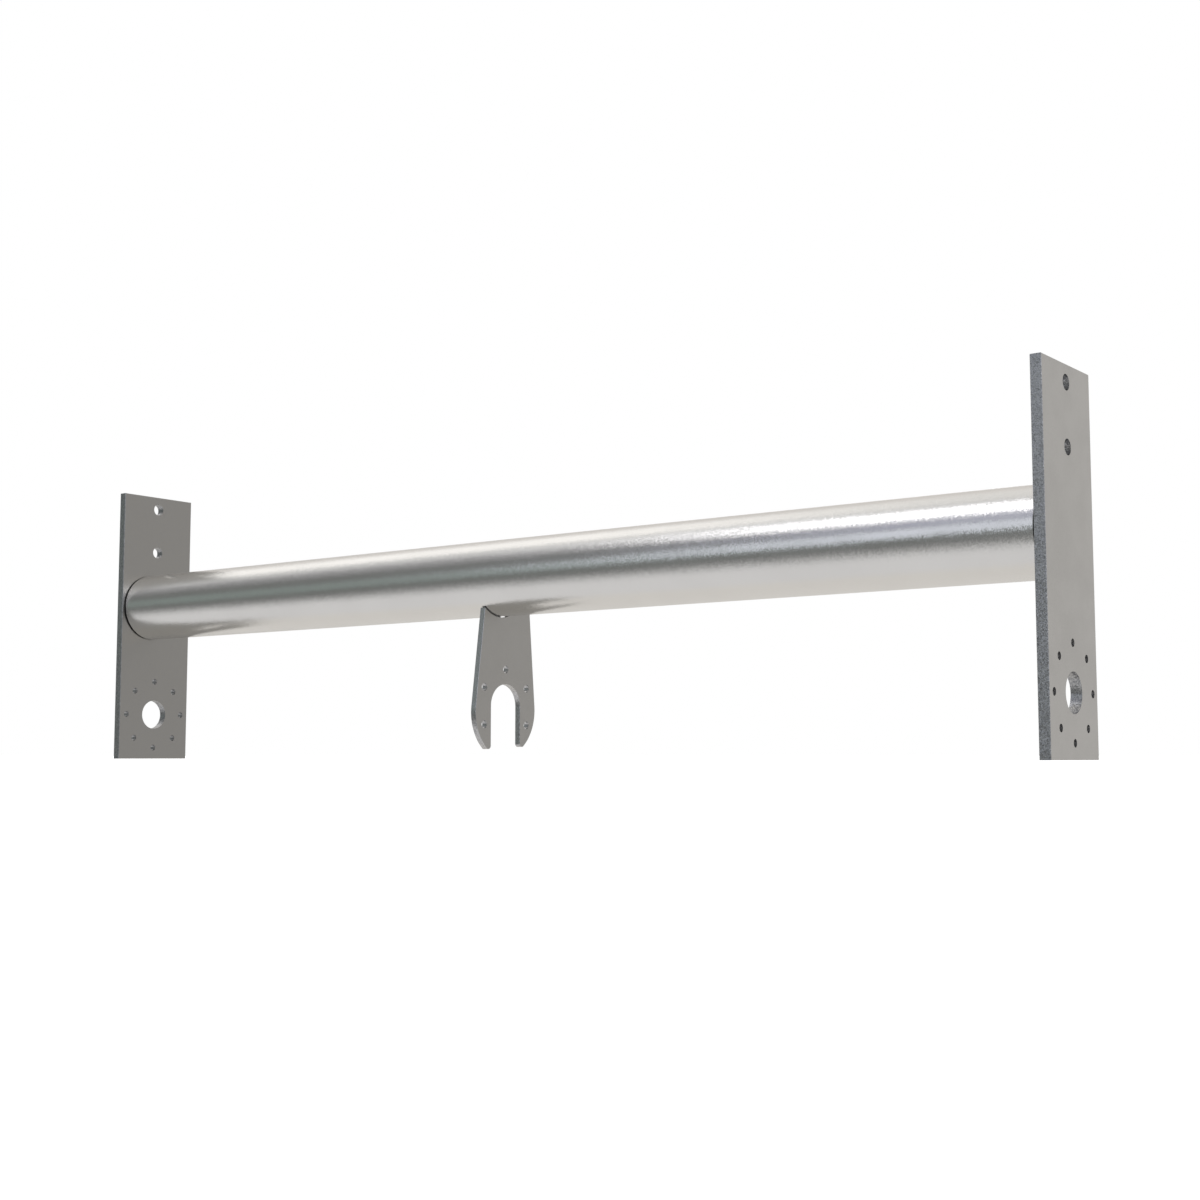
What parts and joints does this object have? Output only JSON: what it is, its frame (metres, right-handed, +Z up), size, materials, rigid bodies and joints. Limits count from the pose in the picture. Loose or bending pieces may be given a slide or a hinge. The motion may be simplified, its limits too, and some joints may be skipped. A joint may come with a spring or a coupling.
{
  "type": "pull up bar crossbeam",
  "caption": "Welded steel crossbeam for a pull-up station: a round tube between two drilled end plates, with a slotted fork plate under its middle.",
  "frame": {"origin": "on the plates' feet, midway between the end plates and midway between the plates' front and rear edges", "axes": "+X along the tube from the left end plate to the right one, +Y towards the rear, +Z up from the plates' feet; the tube sits towards -Y, the front"},
  "size_m": [1.2, 0.1014, 0.328],
  "materials": {
    "tube": "satin, fine grain",
    "end_plate": "fine blasted steel",
    "fork": "fine blasted steel",
    "weld": "dark unground weld"
  },
  "bodies": {
    "root": {"crossbeam_tube": "tube", "left_end_plate": "end_plate", "right_end_plate": "end_plate", "fork_plate": "fork", "left_tube_weld": "weld", "right_tube_weld": "weld", "front_fork_weld": "weld", "rear_fork_weld": "weld"}
  },
  "joints": []
}
